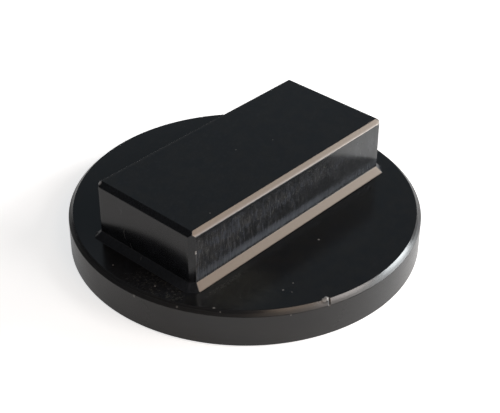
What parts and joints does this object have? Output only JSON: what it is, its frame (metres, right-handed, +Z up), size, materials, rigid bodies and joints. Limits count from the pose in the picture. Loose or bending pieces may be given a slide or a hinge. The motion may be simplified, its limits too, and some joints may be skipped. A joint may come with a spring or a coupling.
{
  "type": "jack pad adapter",
  "caption": "Round black pad with a bevelled rectangular block on top, which sits on a jack's saddle and locates in a vehicle's jacking socket.",
  "frame": {"origin": "centre of the base disc's flat underside", "axes": "+Z up out of the block's top face, X along the block's length, Y across its width"},
  "size_m": [0.076, 0.076, 0.0218],
  "materials": {
    "adapter_body": "black anodised, satin gloss, lightly handled"
  },
  "bodies": {
    "root": {"adapter_body": "adapter_body"}
  },
  "joints": []
}
